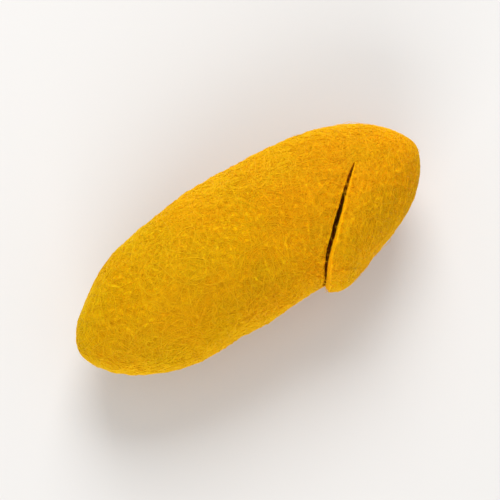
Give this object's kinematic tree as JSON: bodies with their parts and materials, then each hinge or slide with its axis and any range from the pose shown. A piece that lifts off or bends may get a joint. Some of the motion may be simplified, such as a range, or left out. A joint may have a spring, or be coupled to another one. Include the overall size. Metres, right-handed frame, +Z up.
{
  "type": "silk cocoon",
  "caption": "Golden-yellow raw silk cocoon, an elongated blunt spindle, emptied through a slanting knife slit near one end that leaves the end cap hinged.",
  "frame": {"origin": "middle of the bounding box's underside, on the small flat spot that the cocoon rests on", "axes": "+X along the cocoon's length towards the slit end, +Y towards the side where the end cap stays hinged, +Z up from the flat spot"},
  "size_m": [0.034, 0.0142, 0.0123],
  "materials": {
    "raw_silk": "matte bonded silk filament, golden yellow, finely crinkled"
  },
  "bodies": {
    "root": {"cocoon": "raw_silk"}
  },
  "joints": []
}
